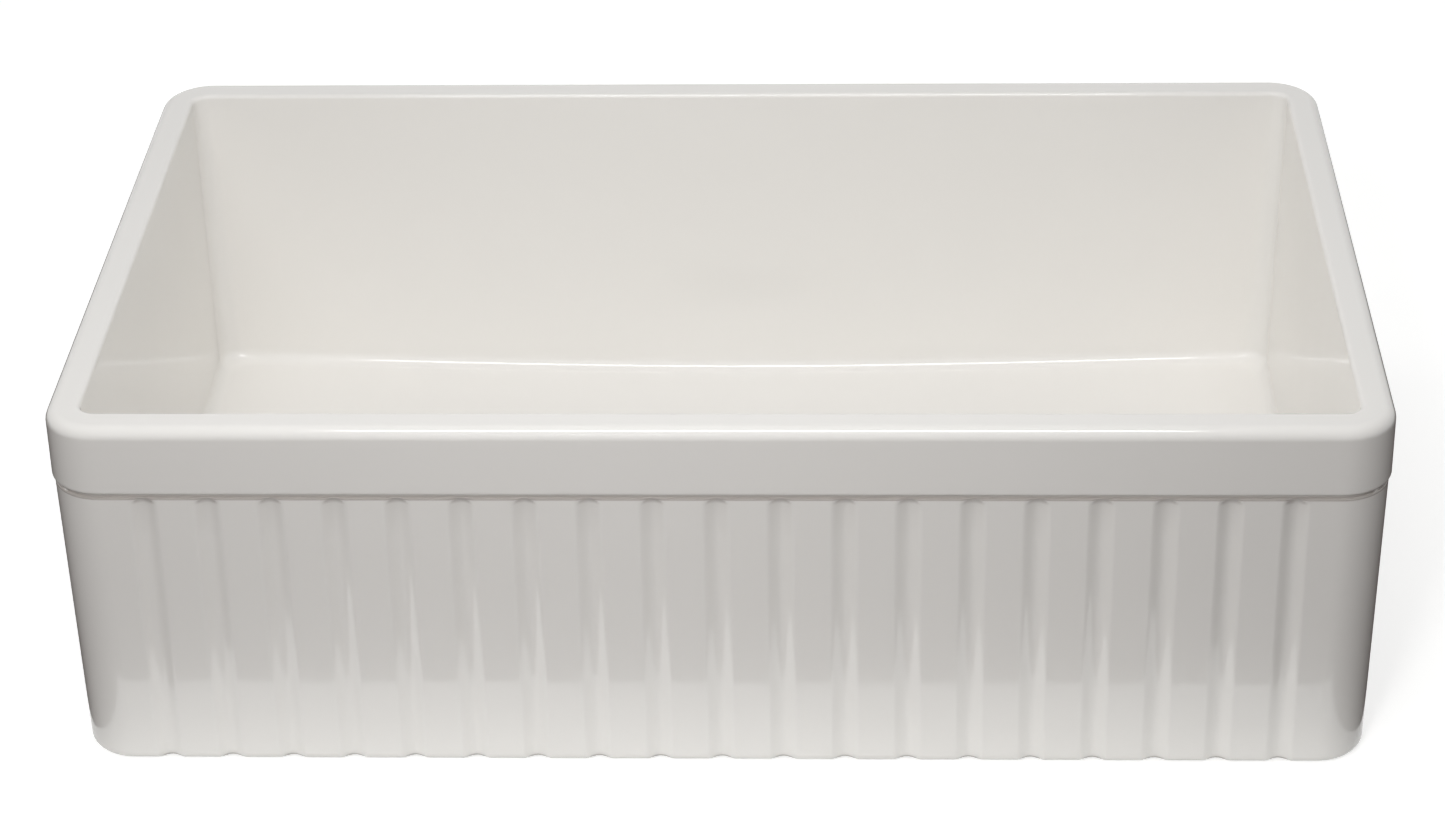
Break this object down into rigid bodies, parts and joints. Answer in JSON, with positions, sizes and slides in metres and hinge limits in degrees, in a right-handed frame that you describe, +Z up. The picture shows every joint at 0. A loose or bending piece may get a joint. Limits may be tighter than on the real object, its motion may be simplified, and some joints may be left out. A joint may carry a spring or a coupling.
{
  "type": "farmhouse apron front sink",
  "caption": "Rectangular single-bowl fireclay kitchen sink with a fluted apron front and a lift-out basket strainer waste with a push-down stopper.",
  "frame": {"origin": "centre of the casting's flat underside, on the axis of the drain", "axes": "+Z up, -Y the fluted apron front, +X to the right of someone facing the apron"},
  "size_m": [0.838, 0.514, 0.3976],
  "materials": {
    "fireclay_glaze": "glossy, slightly warm white glaze",
    "stainless_steel": "satin, turned",
    "polished_chrome": "polished",
    "cast_zinc": "dull, as cast",
    "brass": "rough brass, unplated",
    "black_rubber": "matte",
    "sealant": "matte, tooled",
    "fibre": "matte pressed fibre",
    "white_nylon": "satin"
  },
  "bodies": {
    "sink": {"fireclay_basin": "fireclay_glaze", "drain_sealant_ring": "sealant", "strainer_body": "stainless_steel", "sink_gasket": "black_rubber", "friction_ring": "fibre", "locknut": "cast_zinc", "tailpiece_washer": "white_nylon", "tailpiece": "brass", "slip_nut": "cast_zinc"},
    "strainer_basket": {"basket": "stainless_steel", "post_bush": "white_nylon"},
    "stopper_post": {"centre_post": "stainless_steel", "lift_knob": "polished_chrome", "stopper_washer": "stainless_steel", "stopper": "black_rubber", "stopper_nut": "stainless_steel"}
  },
  "joints": [
    {"name": "basket_lift", "type": "slide", "parent": "sink", "child": "strainer_basket", "axis": [0, 0, 1], "range_m": [0, 0.29]},
    {"name": "stopper_slide", "type": "slide", "parent": "strainer_basket", "child": "stopper_post", "axis": [0, 0, 1], "range_m": [0, 0.01]}
  ]
}
